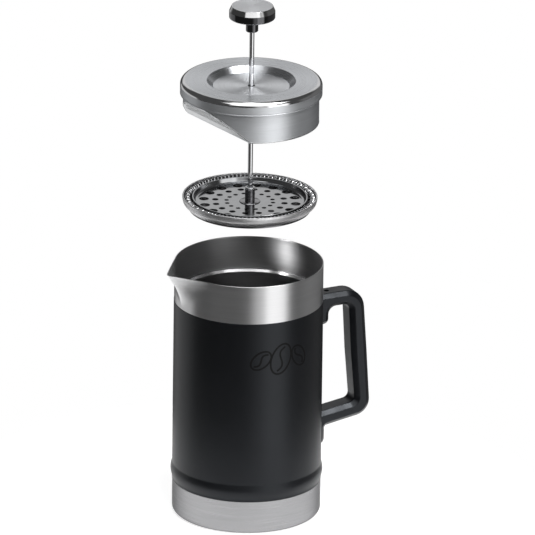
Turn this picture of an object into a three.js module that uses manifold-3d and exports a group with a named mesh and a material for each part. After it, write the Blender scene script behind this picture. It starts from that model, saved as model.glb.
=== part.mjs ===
// A double-walled steel french press, opened up the way it is shown for cleaning: the jug stands on the
// table, and the lid with its plunger hangs above the mouth.
// Units are millimetres, +Z is up, and the origin is the centre of the base, on the table.
// The handle points along +X and the pouring spout along -X.
import * as THREE from "three";
import { mergeVertices } from "three/addons/utils/BufferGeometryUtils.js";
import Module from "manifold-3d";

const wasm = await Module();
wasm.setup();

// ---------------------------------------------------------------- driving dimensions
const GAP = 0.3; // clearance between two pieces that touch
const SHEET = 0.7; // wall of every steel pressing
const SIDES = 40; // facets round the large turned pieces
const SMALL_SIDES = 16; // facets round the rod and its fittings

const JUG_HEIGHT = 212;
const BODY_RADIUS = 60; // bare steel of the collar and the base
const PAINT = 0.2; // how far the painted shell stands proud of the bare steel
const SHELL_CLEAR = BODY_RADIUS + PAINT + GAP; // what sits on the shell starts here
const BASE_HEIGHT = 27.5; // bare steel band at the bottom
const BASE_CORNER = 4;
const COVER_RADIUS = 47; // disc glued over the seal in the base
const BEAD_BOTTOM = 29; // rolled bead just over the base band
const BEAD_TOP = 42;
const BEAD_OUT = 1.2;
const COLLAR_BOTTOM = 180.5; // bare steel collar with the spout
const COLLAR_WALL = 0.9;

const SPOUT_REACH = 13; // how far the lip stands out of the collar
const SPOUT_CURVE = 1.8; // how late, going up the collar, the spout swings out
const SPOUT_DIP = 0.5; // the lip is pulled out of the same sheet, so its edge drops

const LINER_RADIUS = 55.6; // inside of the inner vessel
const LINER_FLOOR = 14; // inside bottom of the inner vessel
const LINER_CORNER = 11;
const LEDGE = 185; // ledge that the lid rests on
const CHANNEL_DEEP = 2.1; // pouring channel pressed into the top of the vessel
const CHANNEL_HALF_ANGLE = 22 * (Math.PI / 180);
const CHANNEL_BOTTOM = 166;

const LID_LIFT = 170.7; // how far the lid is lifted off its ledge
const LID_TURN = 9 * (Math.PI / 180); // the lid is turned this far from the spout
const LID_RADIUS = 57.1;
const LID_BAND = 11.3; // height of the cap's rim
const LID_TOP = LEDGE + 0.2 + LID_BAND + LID_LIFT;
const LID_BEAD = 3.8; // radius of the cap's rounded edge
const DISH_RADIUS = 35.8;
const DISH_FLOOR_RADIUS = 30.6;
const DISH_DEPTH = 4.8;
const SKIRT_RADIUS = 54.8;
const SKIRT_BOTTOM = 35; // below the top of the lid
const SLANT = 45 * (Math.PI / 180); // slope of the strainer over the spout
const SLANT_RISE = 23.1; // how far the skirt is cut away at the spout side

const ROD_RADIUS = 2;
const ROD_HOLE = 2.8; // hole for the rod in the lid
const BUSH_BORE = ROD_RADIUS + GAP;
const BUSH_RADIUS = 5.6;
const BUSH_HEIGHT = 5;

const RIM_DROP = 98.6; // from the top of the lid down to the rim of the filter, as it hangs
const RIM = LID_TOP - RIM_DROP;
const FILTER_RADIUS = 54.2; // top of the mesh
const FILTER_FOOT_RADIUS = 49; // bottom of the mesh
const MESH_DEPTH = 9.4;
const COIL_RING_RADIUS = 50.3;
const COIL_RADIUS = 2.7;
const PLATE_RADIUS = 46.4;
const PLATE_DEPTH = 5; // floor of the perforated plate below the rim
const SPOKES = 16;
const PLATE_HOLES = [
  { ring: 18.8, radius: 1.85 },
  { ring: 28, radius: 2.6 },
  { ring: 37.2, radius: 3.9 },
];
const HUB_RADIUS = 4;
const HUB_TOP = 7.5; // above the rim
const NUT_RADIUS = 5;

const KNOB_RISE = 62.8; // from the top of the lid up to the top of the knob, as it hangs
const KNOB_TOP = LID_TOP + KNOB_RISE;
const KNOB_RADIUS = 18.5;
const KNOB_FACE_RADIUS = 16.6;
const KNOB_CHAMFER = 4.2;
const KNOB_HEIGHT = 10.4;
const FERRULE_RADIUS = 5;
const FERRULE_HEIGHT = 11;

const HANDLE_WIDTH = 20;
// The handle's side outline: corners [distance from the axis, height, radius of the corner].
const HANDLE_CORNERS = [
  [57, 176.5, 0],
  [57, 150.3, 0],
  [69.2, 150.3, 4.5],
  [69.1, 164.6, 6.5],
  [87.5, 164.6, 5],
  [90, 123, 0],
  [94, 79.9, 5],
  [57, 74.7, 0],
  [57, 47.3, 0],
  [66.7, 47.3, 4.5],
  [66.7, 62.5, 2.5],
  [107.9, 69, 13],
  [104.2, 123, 0],
  [100.1, 176.5, 17],
];
// Inside the handle's ends: a tab and a plate welded to the shell, and the screw that holds the handle.
const UPPER_BRACKET = { tab: 170, bottom: 156, top: 173, screwAt: 70, screwHead: 174.2, down: -1 };
const LOWER_BRACKET = { tab: 71.5, bottom: 54, top: 73, screwAt: 74, screwHead: 66.4, down: 1 };
const SCREW_HEAD = 1.8; // radius of a screw's head
const SCREW_SHANK = 1.2;
const SCREW_RECESS = 2.4; // radius of the recess over a screw's head

// ---------------------------------------------------------------- materials
const metal = (color, roughness) =>
  new THREE.MeshStandardMaterial({ color, roughness, metalness: 1 });
const plain = (color, roughness) =>
  new THREE.MeshStandardMaterial({ color, roughness, metalness: 0 });
const BRUSHED = metal(0xb4b6b8, 0.32);
const POLISHED = metal(0xc9cbcd, 0.1);
const DARK_CHROME = metal(0x55575b, 0.12);
const INNER_STEEL = metal(0x8e9092, 0.35);
const MESH_STEEL = metal(0x9c9da0, 0.4);
const BLACK_PAINT = plain(0x191a1d, 0.5);
const BLACK_PLASTIC = plain(0x1b1c1f, 0.45);
const BUSH_PLASTIC = plain(0x111113, 0.5);

// ---------------------------------------------------------------- shape helpers
// Points of an arc in a profile, from angle a to angle b, in degrees.
function arc(centreR, centreZ, radius, a, b, steps) {
  const points = [];
  for (let i = 0; i <= steps; i++) {
    const t = THREE.MathUtils.degToRad(a + ((b - a) * i) / steps);
    points.push([centreR + radius * Math.cos(t), centreZ + radius * Math.sin(t)]);
  }
  return points;
}

// The closed outline of a sheet: a path of [radius, height] points, thickened to its left.
function sheet(path, thickness = SHEET) {
  const inner = path.map(([r, z], i) => {
    const before = path[Math.max(i - 1, 0)];
    const after = path[Math.min(i + 1, path.length - 1)];
    const along = (p, q) => new THREE.Vector2(q[0] - p[0], q[1] - p[1]).normalize();
    const first = i > 0 ? along(before, path[i]) : along(path[i], after);
    const second = i < path.length - 1 ? along(path[i], after) : first;
    const left = first.clone().add(second).normalize();
    const reach = thickness / Math.max(left.dot(first), 0.5);
    return [Math.max(r - left.y * reach, 0), z + left.x * reach];
  });
  return [...path, ...inner.reverse()];
}

// A turned solid. A ring's outline closes on itself; any other starts and ends on the axis.
function turned(outline, sides = SIDES) {
  const onAxis = outline.filter(([r]) => r < 1e-6).length >= 2;
  const closed = onAxis ? outline : [...outline, outline[0]];
  const points = closed.map(([r, z]) => new THREE.Vector2(r, z));
  return new THREE.LatheGeometry(points, sides).rotateX(Math.PI / 2);
}

// A solid cylinder on the Z axis, from one height to another.
function rod(radius, bottom, top, sides = SMALL_SIDES) {
  const made = new THREE.CylinderGeometry(radius, radius, top - bottom, sides);
  return made.rotateX(Math.PI / 2).translate(0, 0, (top + bottom) / 2);
}

// A turned tube with square ends.
function tube(inner, outer, bottom, top, sides = SMALL_SIDES) {
  const outline = [
    [outer, bottom],
    [outer, top],
    [inner, top],
    [inner, bottom],
  ];
  return turned(outline, sides);
}

// A ring whose section changes with the angle: outlineAt(angle) gives its closed outline.
function lofted(outlineAt, sides) {
  const position = [];
  const index = [];
  const count = outlineAt(0).length;
  for (let i = 0; i < sides; i++) {
    const angle = (2 * Math.PI * i) / sides;
    for (const [r, z] of outlineAt(angle)) {
      position.push(r * Math.cos(angle), r * Math.sin(angle), z);
    }
    for (let j = 0; j < count; j++) {
      const a = i * count + j;
      const b = i * count + ((j + 1) % count);
      const c = ((i + 1) % sides) * count + j;
      const d = ((i + 1) % sides) * count + ((j + 1) % count);
      index.push(a, c, b, b, c, d);
    }
  }
  const made = new THREE.BufferGeometry();
  made.setAttribute("position", new THREE.Float32BufferAttribute(position, 3));
  made.setIndex(index);
  return made;
}

function box(from, to) {
  const size = to.map((v, i) => v - from[i]);
  const made = new THREE.BoxGeometry(...size);
  return made.translate(...to.map((v, i) => (v + from[i]) / 2));
}

// ---------------------------------------------------------------- cutting and joining
function solid(geometry) {
  const bare = geometry.clone();
  bare.deleteAttribute("normal");
  bare.deleteAttribute("uv");
  const merged = mergeVertices(bare, 1e-4);
  const mesh = new wasm.Mesh({
    numProp: 3,
    vertProperties: new Float32Array(merged.attributes.position.array),
    triVerts: new Uint32Array(merged.index.array),
  });
  return new wasm.Manifold(mesh);
}

function geometryOf(made) {
  const mesh = made.getMesh();
  const geometry = new THREE.BufferGeometry();
  geometry.setAttribute("position", new THREE.BufferAttribute(mesh.vertProperties, 3));
  geometry.setIndex(new THREE.BufferAttribute(mesh.triVerts, 1));
  geometry.computeVertexNormals();
  return geometry;
}

function cut(geometry, ...tools) {
  return geometryOf(tools.reduce((made, tool) => made.subtract(solid(tool)), solid(geometry)));
}

function joined(...geometries) {
  return geometryOf(geometries.map(solid).reduce((made, next) => made.add(next)));
}

function common(a, b) {
  return geometryOf(solid(a).intersect(solid(b)));
}

// ---------------------------------------------------------------- jug
function outerShell() {
  const bead = [];
  const steps = 4;
  for (let i = 0; i <= steps; i++) {
    const z = BEAD_BOTTOM + ((BEAD_TOP - BEAD_BOTTOM) * i) / steps;
    bead.push([BODY_RADIUS + PAINT + BEAD_OUT * Math.sin((Math.PI * i) / steps), z]);
  }
  const bottom = [BODY_RADIUS + PAINT, BASE_HEIGHT + GAP];
  const top = [BODY_RADIUS + PAINT, COLLAR_BOTTOM - GAP];
  return turned(sheet([bottom, ...bead, top]));
}

// The collar's radius where the spout reaches out this far: two flat flanks, tangent to the round wall.
function spoutRadius(angle, reach) {
  const halfAngle = Math.acos(BODY_RADIUS / (BODY_RADIUS + reach));
  const fromTip = Math.abs(Math.PI - angle);
  return BODY_RADIUS / Math.cos(Math.max(halfAngle - fromTip, 0));
}

function spoutCollar() {
  const levels = [0, 0.3, 0.55, 0.8, 1];
  return lofted((angle) => {
    const pull = (spoutRadius(angle, SPOUT_REACH) - BODY_RADIUS) / SPOUT_REACH;
    const top = JUG_HEIGHT - SPOUT_DIP * pull;
    const outer = levels.map((t) => [
      spoutRadius(angle, SPOUT_REACH * t ** SPOUT_CURVE),
      COLLAR_BOTTOM + (top - COLLAR_BOTTOM) * t,
    ]);
    const inner = outer.map(([r, z]) => [r - COLLAR_WALL, z]).reverse();
    return [...outer, ...inner];
  }, 80);
}

// The inner vessel, with a ledge for the lid and a pouring channel pressed into its top.
function innerLiner() {
  const outside = LINER_RADIUS + SHEET;
  const corner = arc(outside - LINER_CORNER, LINER_FLOOR - SHEET + LINER_CORNER, LINER_CORNER, -90, 0, 3);
  const ledgeEdge = BODY_RADIUS - COLLAR_WALL - GAP;
  const cup = turned(
    sheet([
      [0, LINER_FLOOR - SHEET],
      ...corner,
      [outside, CHANNEL_BOTTOM],
    ]),
  );
  const neck = lofted((angle) => {
    const fromTip = Math.min(Math.abs(Math.PI - angle) / CHANNEL_HALF_ANGLE, 1);
    const pull = CHANNEL_DEEP * Math.cos((fromTip * Math.PI) / 2) ** 2;
    const height = LEDGE - CHANNEL_BOTTOM;
    const foot = outside - SHEET * 0.2; // inside the cup's wall, to join it cleanly
    return sheet([
      [foot, CHANNEL_BOTTOM - 1],
      [foot, CHANNEL_BOTTOM],
      [outside + pull * 0.75, CHANNEL_BOTTOM + height * 0.45],
      [outside + pull, LEDGE - SHEET],
      [ledgeEdge, LEDGE - SHEET],
    ]);
  }, SIDES);
  return joined(cup, neck);
}

function baseCup() {
  const coverTop = 0.8 + GAP;
  const path = [
    [0, coverTop],
    [COVER_RADIUS + GAP, coverTop],
    [COVER_RADIUS + 0.8, 0],
    ...arc(BODY_RADIUS - BASE_CORNER, BASE_CORNER, BASE_CORNER, -90, 0, 2),
    [BODY_RADIUS, BASE_HEIGHT],
  ];
  return turned(sheet(path));
}

// A flat shape through corners [x, y, radius], with each corner rounded to its radius.
function roundedShape(corners) {
  const shape = new THREE.Shape();
  corners.forEach(([x, y, radius], i) => {
    const here = new THREE.Vector2(x, y);
    const towards = (k) => new THREE.Vector2(...corners[k % corners.length]).sub(here).normalize();
    const back = towards(i + corners.length - 1);
    const ahead = towards(i + 1);
    const half = Math.acos(back.dot(ahead)) / 2;
    const start = here.clone().addScaledVector(back, radius / Math.tan(half));
    const end = here.clone().addScaledVector(ahead, radius / Math.tan(half));
    if (i === 0) shape.moveTo(start.x, start.y);
    else shape.lineTo(start.x, start.y);
    if (radius > 0) shape.quadraticCurveTo(x, y, end.x, end.y);
  });
  shape.closePath();
  return shape;
}

// The blank of a bracket inside one end of the handle; grow makes the pocket that it sits in.
function bracketBlank({ tab, bottom, top }, grow = 0) {
  const tabBox = box([56, -5 - grow, tab - 1.2 - grow], [82 + grow, 5 + grow, tab + 1.2 + grow]);
  const plateBox = box([56, -7 - grow, bottom - grow], [62.6 + grow, 7 + grow, top + grow]);
  return joined(tabBox, plateBox);
}

// The screw through a bracket's tab, with its point towards down (-1 down, +1 up); grow makes its hole.
function handleScrew({ screwAt, screwHead, down }, grow = 0) {
  const head = [screwHead, screwHead + down * 2.4];
  const shank = [screwHead, screwHead + down * 8.5];
  const made = joined(
    rod(SCREW_HEAD + grow, Math.min(...head) - grow, Math.max(...head) + grow),
    rod(SCREW_SHANK + grow, Math.min(...shank) - grow, Math.max(...shank) + grow),
  );
  return made.translate(screwAt, 0, 0);
}

// The open recess over a screw's head, out through the side of the handle.
function screwRecess({ screwAt, screwHead, down }) {
  const near = screwHead - down * GAP;
  const far = screwHead - down * 6;
  return rod(SCREW_RECESS, Math.min(near, far), Math.max(near, far)).translate(screwAt, 0, 0);
}

// A bracket, curved to the shell that it is welded to, with the hole for its screw.
function bracket(place) {
  return cut(bracketBlank(place), rod(SHELL_CLEAR, 0, JUG_HEIGHT, SIDES * 2), handleScrew(place, GAP));
}

function handle() {
  const blank = new THREE.ExtrudeGeometry(roundedShape(HANDLE_CORNERS), {
    depth: HANDLE_WIDTH,
    bevelEnabled: false,
    curveSegments: 4,
  });
  blank.translate(0, 0, -HANDLE_WIDTH / 2).rotateX(Math.PI / 2);
  const pockets = [UPPER_BRACKET, LOWER_BRACKET].flatMap((place) => [
    bracketBlank(place, GAP),
    handleScrew(place, GAP),
    screwRecess(place),
  ]);
  return cut(blank, rod(SHELL_CLEAR, 0, JUG_HEIGHT, SIDES * 2), ...pockets);
}

// ---------------------------------------------------------------- lid, with its top at height 0
function lidCap() {
  const path = [
    [SKIRT_RADIUS + GAP, -LID_BAND],
    [LID_RADIUS, -LID_BAND],
    ...arc(LID_RADIUS - LID_BEAD, -LID_BEAD, LID_BEAD, 0, 90, 3),
    [DISH_RADIUS, -0.3],
    [DISH_FLOOR_RADIUS, -DISH_DEPTH],
    [ROD_HOLE, -DISH_DEPTH],
  ];
  return turned(sheet(path));
}

// A thick slab over everything on the spout side of the slanted strainer; offset moves it inwards.
function slantTool(offset) {
  const slab = box([-200, -100, -200], [200, 100, 0]);
  slab.translate(0, 0, offset).rotateY(SLANT);
  return slab.translate(-SKIRT_RADIUS, 0, -SKIRT_BOTTOM + SLANT_RISE);
}

function lidSkirt() {
  const wall = tube(SKIRT_RADIUS - SHEET, SKIRT_RADIUS, -SKIRT_BOTTOM, -2, SIDES);
  return cut(wall, slantTool(0));
}

function lidFloor() {
  const radius = SKIRT_RADIUS - SHEET - GAP;
  const disc = tube(ROD_HOLE, radius, -SKIRT_BOTTOM, -SKIRT_BOTTOM + SHEET, SIDES);
  return cut(disc, slantTool(SHEET + GAP));
}

// The slanted perforated plate that the coffee runs past on its way to the spout.
function pourStrainer() {
  const radius = SKIRT_RADIUS - SHEET - GAP;
  const inside = rod(radius, -SKIRT_BOTTOM, 0, SIDES);
  const plate = box([-100, -100, 0], [100, 100, SHEET]);
  plate.rotateY(SLANT).translate(-SKIRT_RADIUS, 0, -SKIRT_BOTTOM + SLANT_RISE);
  const holes = [];
  for (let row = 0; row < 3; row++) {
    const halfCount = 3 + row;
    for (let k = -halfCount; k <= halfCount; k++) {
      const hole = rod(1.1, -5, 5, 6).rotateZ(0.12 * k + 0.1 * row); // no two corners line up
      hole.translate(8 + row * 5, k * 5, 0).rotateY(SLANT);
      holes.push(hole.translate(-SKIRT_RADIUS, 0, -SKIRT_BOTTOM + SLANT_RISE));
    }
  }
  return cut(common(plate, inside), ...holes);
}

function bush(top) {
  return tube(BUSH_BORE, BUSH_RADIUS, top - BUSH_HEIGHT, top);
}

// ---------------------------------------------------------------- plunger, with the filter's rim at 0
function plungerRod() {
  return rod(ROD_RADIUS, -MESH_DEPTH - 4, KNOB_TOP - RIM - 5);
}

function knobCap() {
  const side = KNOB_RADIUS - 1.5;
  return turned(
    [
      [0, -2],
      [KNOB_FACE_RADIUS - 2.5, -2],
      [side - 1.2, -KNOB_CHAMFER - 1],
      [side - 1.2, -KNOB_HEIGHT],
      [KNOB_RADIUS - 0.8, -KNOB_HEIGHT],
      [KNOB_RADIUS, -KNOB_HEIGHT + 0.8],
      [KNOB_RADIUS, -KNOB_CHAMFER],
      [KNOB_FACE_RADIUS, 0],
      [0, 0],
    ],
    28,
  );
}

function knobBase() {
  const outer = KNOB_RADIUS - 2.5 - GAP;
  return turned(
    [
      [ROD_RADIUS + GAP, -KNOB_HEIGHT],
      [outer, -KNOB_HEIGHT],
      [outer, -KNOB_HEIGHT + 1.6],
      [HUB_RADIUS + 2, -KNOB_HEIGHT + 1.6],
      [HUB_RADIUS + 2, -4],
      [ROD_RADIUS + GAP, -4],
    ],
    28,
  );
}

function knobFerrule() {
  const top = -KNOB_HEIGHT - GAP;
  const bottom = top - FERRULE_HEIGHT;
  return turned(
    [
      [ROD_RADIUS + GAP, bottom],
      [FERRULE_RADIUS - 0.7, bottom],
      [FERRULE_RADIUS, bottom + 0.7],
      [FERRULE_RADIUS, top],
      [ROD_RADIUS + GAP, top],
    ],
    SMALL_SIDES,
  );
}

function perforatedPlate() {
  const floor = -PLATE_DEPTH;
  const path = [
    [ROD_RADIUS + 0.6, floor - SHEET],
    [41, floor - SHEET],
    ...arc(41, floor - SHEET + 3.2, 3.2, -60, -20, 2),
    [PLATE_RADIUS - 0.8, -0.6],
  ];
  const drills = [];
  for (let spoke = 0; spoke < SPOKES; spoke++) {
    for (const { ring, radius } of PLATE_HOLES) {
      const drill = rod(radius, floor - 2, floor + 2, 6).translate(ring, 0, 0);
      drills.push(drill.rotateZ(((spoke + 0.5) * 2 * Math.PI) / SPOKES));
    }
  }
  return cut(turned(sheet(path)), ...drills);
}

function hub() {
  return turned(
    [
      [ROD_RADIUS + GAP, -PLATE_DEPTH + 1.2 + GAP],
      [HUB_RADIUS, -PLATE_DEPTH + 1.2 + GAP],
      [HUB_RADIUS, HUB_TOP - 0.8],
      [HUB_RADIUS - 0.8, HUB_TOP],
      [ROD_RADIUS + GAP, HUB_TOP],
    ],
    SMALL_SIDES,
  );
}

function hubWasher() {
  const bottom = -PLATE_DEPTH + GAP;
  return turned(
    [
      [ROD_RADIUS + GAP, bottom],
      [8.6, bottom],
      [8.2, bottom + 0.6],
      [6, bottom + 0.9],
      [ROD_RADIUS + GAP, bottom + 0.9],
    ],
    SMALL_SIDES,
  );
}

// The coil spring that holds the mesh out against the wall, as the plain ring that it fills.
function rimSpring() {
  const points = arc(COIL_RING_RADIUS, -COIL_RADIUS - 0.4, COIL_RADIUS, 0, 315, 7);
  return turned(points);
}

function meshScreen() {
  const wall = 0.4;
  const path = [
    [ROD_RADIUS + 0.6, -MESH_DEPTH],
    [FILTER_FOOT_RADIUS, -MESH_DEPTH],
    [FILTER_FOOT_RADIUS + 2.5, -MESH_DEPTH + 1.2],
    [FILTER_RADIUS - 0.7, -MESH_DEPTH + 4.2],
    [FILTER_RADIUS, -MESH_DEPTH + 6.8],
    [FILTER_RADIUS, 0],
  ];
  return turned(sheet(path, wall));
}

function crossPlate() {
  const top = -MESH_DEPTH - GAP;
  const disc = tube(ROD_RADIUS + 0.6, FILTER_FOOT_RADIUS, top - 0.8, top, SIDES);
  const drills = [];
  for (let i = 0; i < 8; i++) {
    const turn = (i * Math.PI) / 4;
    drills.push(rod(7.4, top - 3, top + 3, 8).translate(31, 0, 0).rotateZ(turn));
    drills.push(rod(2.6, top - 3, top + 3, 6).translate(15, 0, 0).rotateZ(turn + Math.PI / 8));
  }
  return cut(disc, ...drills);
}

function filterNut() {
  const top = -MESH_DEPTH - 0.8 - 2 * GAP;
  return turned(
    [
      [0, top - 6],
      [NUT_RADIUS - 1, top - 6],
      [NUT_RADIUS, top - 5],
      [NUT_RADIUS, top],
      [ROD_RADIUS + GAP, top],
      [ROD_RADIUS + GAP, -MESH_DEPTH - 4 - GAP],
      [0, -MESH_DEPTH - 4 - GAP],
    ],
    6,
  );
}

// ---------------------------------------------------------------- assembly
function group(height, parts) {
  const made = new THREE.Group();
  made.position.z = height;
  for (const [name, geometry, material] of parts) {
    const mesh = new THREE.Mesh(geometry, material);
    mesh.name = name;
    made.add(mesh);
  }
  return made;
}

const jug = group(0, [
  ["outer_shell", outerShell(), BLACK_PAINT],
  ["spout_collar", spoutCollar(), BRUSHED],
  ["inner_liner", innerLiner(), INNER_STEEL],
  ["base_cup", baseCup(), BRUSHED],
  ["base_cover_disc", rod(COVER_RADIUS, 0, 0.8, SIDES), BRUSHED],
  ["vacuum_getter", rod(9, 1.8 + 2 * GAP, 5.6, SMALL_SIDES), INNER_STEEL],
  ["handle", handle(), BLACK_PLASTIC],
  ["upper_handle_bracket", bracket(UPPER_BRACKET), INNER_STEEL],
  ["lower_handle_bracket", bracket(LOWER_BRACKET), INNER_STEEL],
  ["upper_handle_screw", handleScrew(UPPER_BRACKET), DARK_CHROME],
  ["lower_handle_screw", handleScrew(LOWER_BRACKET), DARK_CHROME],
]);

const lid = group(LID_TOP, [
  ["lid_cap", lidCap(), BRUSHED],
  ["lid_skirt", lidSkirt(), BRUSHED],
  ["lid_floor", lidFloor(), BRUSHED],
  ["pour_strainer", pourStrainer(), BRUSHED],
]);
lid.rotation.z = LID_TURN;

const guides = group(LID_TOP, [
  ["upper_rod_bush", bush(-DISH_DEPTH - SHEET - GAP), BUSH_PLASTIC],
  ["lower_rod_bush", bush(-SKIRT_BOTTOM + SHEET + GAP + BUSH_HEIGHT), BUSH_PLASTIC],
]);

const plunger = group(RIM, [
  ["plunger_rod", plungerRod(), POLISHED],
  ["filter_hub", hub(), POLISHED],
  ["hub_washer", hubWasher(), POLISHED],
  ["perforated_plate", perforatedPlate(), POLISHED],
  ["rim_spring", rimSpring(), POLISHED],
  ["mesh_screen", meshScreen(), MESH_STEEL],
  ["cross_plate", crossPlate(), POLISHED],
  ["filter_nut", filterNut(), POLISHED],
]);

const knob = group(KNOB_TOP, [
  ["knob_cap", knobCap(), DARK_CHROME],
  ["knob_base", knobBase(), DARK_CHROME],
  ["knob_ferrule", knobFerrule(), DARK_CHROME],
]);

const frenchPress = new THREE.Group();
frenchPress.add(jug, lid, guides, plunger, knob);
export default frenchPress;
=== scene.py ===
"""A double-walled steel french press, opened for cleaning: the looks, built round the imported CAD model.

Every piece is made in millimetres, at heights that come from the CAD nodes, and scaled to metres once.
The handle points along +X and the spout along -X.
"""
import math
from functools import partial

import bmesh
import bpy
from mathutils import Matrix, Vector


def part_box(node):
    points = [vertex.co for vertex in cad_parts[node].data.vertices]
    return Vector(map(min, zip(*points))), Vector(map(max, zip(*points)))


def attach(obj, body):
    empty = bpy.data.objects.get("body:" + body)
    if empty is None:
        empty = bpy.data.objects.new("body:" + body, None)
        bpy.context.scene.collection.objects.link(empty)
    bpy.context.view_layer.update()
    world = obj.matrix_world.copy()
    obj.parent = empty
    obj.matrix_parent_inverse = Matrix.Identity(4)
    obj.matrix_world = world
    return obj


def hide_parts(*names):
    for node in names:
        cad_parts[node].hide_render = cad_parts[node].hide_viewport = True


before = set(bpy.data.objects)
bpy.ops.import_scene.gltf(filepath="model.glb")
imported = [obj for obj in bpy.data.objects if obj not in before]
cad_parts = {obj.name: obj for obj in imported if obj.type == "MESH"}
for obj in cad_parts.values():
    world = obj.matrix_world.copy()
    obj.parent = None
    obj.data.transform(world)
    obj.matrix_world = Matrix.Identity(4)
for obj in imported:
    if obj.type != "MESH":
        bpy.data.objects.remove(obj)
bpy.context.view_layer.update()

MM = 0.001
ROUND = 256  # steps round the large turned pieces
FINE_ROUND = 96  # steps round the rod and its fittings

# ---------------- sizes, in millimetres
SHEET = 0.7
BODY_RADIUS = 60.0
SHELL_RADIUS = 60.2
BEAD_OUT = 1.2
BEAD = (29.0, 42.0)
COLLAR_WALL = 0.9
SPOUT_REACH = 13.0
SPOUT_CURVE = 1.8  # how late, going up the collar, the spout swings out
SPOUT_DIP = 0.5
SPOUT_BLUNT = math.radians(1.6)  # how far the two flanks of the spout blend at its tip
LINER_RADIUS = 55.6
LINER_CORNER = 11.0
CHANNEL_DEEP = 2.1
CHANNEL_HALF_ANGLE = math.radians(22)
CHANNEL_HEIGHT = 19.0
MOUTH_WIDE = 1.04  # width of the cone at the vessel's mouth
MOUTH_DEEP = 2.0
BASE_RECESS = 1.05  # height of the hollow under the base

LID_RADIUS = 57.1
LID_BEAD = 3.8
LID_BAND = 11.3
DISH_RADIUS = 35.8
DISH_FLOOR_RADIUS = 30.6
DISH_DEPTH = 4.8
SKIRT_RADIUS = 54.8
SKIRT_OUTSIDE = SKIRT_RADIUS - 0.15
SKIRT_INSIDE = SKIRT_OUTSIDE - SHEET
SKIRT_BOTTOM = 35.0
SKIRT_ROUND = ROUND + 128  # steps round the skirt
HEM_RADIUS = 0.62  # of the skirt's rolled edge
SLANT = math.radians(45)
SLANT_RISE = 23.1
SLANT_FOOT = -SKIRT_RADIUS + SLANT_RISE / math.tan(SLANT)  # where the slant meets the lid's floor
SLANT_REACH = math.acos(SLANT_FOOT / SKIRT_INSIDE)  # half the angle that the floor's round edge covers
LID_TURN = math.radians(9)
STRAINER_ROWS = 6
STRAINER_PITCH = 3.4
STRAINER_HOLE = 1.3

ROD_RADIUS = 2.0
FILTER_RADIUS = 54.2
FILTER_FOOT_RADIUS = 49.0
MESH_DEPTH = 9.4
COIL_RING_RADIUS = 50.3
COIL_RADIUS = 2.7
COIL_MIDDLE = 2.05  # radius of the coil to the middle of its wire
COILS = 96
PLATE_RADIUS = 46.4
PLATE_DEPTH = 5.0
PLATE_FLAT = 41.0  # radius of the flat middle of the plate
PLATE_BRIM = (-1.35, -0.75)
SPOKES = 16
PLATE_HOLES = ((18.8, 1.85), (28.0, 2.6), (37.2, 3.95))  # (distance from the axis, radius)
FOOT_THICK = 1.1
FOOT_SPOKES = 8
FOOT_HOLES = ((31, 7.4, 40, 0), (15, 2.6, 24, 0.5))  # (distance, radius, points, turn in spokes)
NUT_HEIGHT = 6.3
HUB_RADIUS = 4.0
HUB_TOP = 7.5

ROD_HOLE = 2.8
BUSH_BORE = 2.15
BUSH_RADIUS = 5.6
BUSH_HEIGHT = 5.0

KNOB_RADIUS = 18.5
KNOB_FACE_RADIUS = 16.6
KNOB_CHAMFER = 4.2
KNOB_HEIGHT = 10.4
FERRULE_RADIUS = 5.0
FERRULE_HEIGHT = 11.0

HANDLE_WIDTH = 20.0
HANDLE_CHAMFER = 3.8
# the handle's side outline: corners (distance from the axis, height, radius of the corner)
HANDLE_CORNERS = (
    (57, 176.5, 0), (57, 150.3, 0), (69.2, 150.3, 4.5), (69.1, 164.6, 6.5), (87.5, 164.6, 5), (90, 123, 0),
    (94, 79.9, 5), (57, 74.7, 0), (57, 47.3, 0), (66.7, 47.3, 4.5), (66.7, 62.5, 2.5), (107.9, 69, 13),
    (104.2, 123, 0), (100.1, 176.5, 17),
)
SCREW_RECESS = 2.2
UPPER_SCREW = (70.0, 174.2)  # (distance from the axis, height of the head)
LOWER_SCREW = (74.0, 66.4)
BRACKETS = (("upper", 170, 156, 173), ("lower", 71.5, 54, 73))  # (name, height of the tab, ends of the plate)
BRACKET_TAB = ((60.6, -5), (79, -5), (82, -2), (82, 2), (79, 5), (60.6, 5))
MARK_HEIGHT = 149.0
# the mark's beans: (distance aside, half the length, half the width, lean)
BEANS = ((0, 13.0, 8.4, -0.35), (-17, 9.5, 6.2, -0.9), (17, 9.5, 6.2, 0.5))


def node_height(node, end):
    """The height in millimetres of a CAD node's bottom (end 0) or top (end 1)."""
    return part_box(node)[end].z / MM


COLLAR = (node_height("spout_collar", 0), node_height("spout_collar", 1))
LEDGE = node_height("inner_liner", 1)
LINER_FLOOR = node_height("inner_liner", 0) + SHEET
BASE_TOP = node_height("base_cup", 1)
LID_TOP = node_height("lid_cap", 1)
RIM = node_height("mesh_screen", 1)
KNOB_TOP = node_height("knob_cap", 1)
# turns and lifts the pieces of the lid, which are made with the slant facing -X
LID_PLACE = Matrix.Translation((0, 0, LID_TOP * MM)) @ Matrix.Rotation(LID_TURN, 4, "Z")


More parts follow.
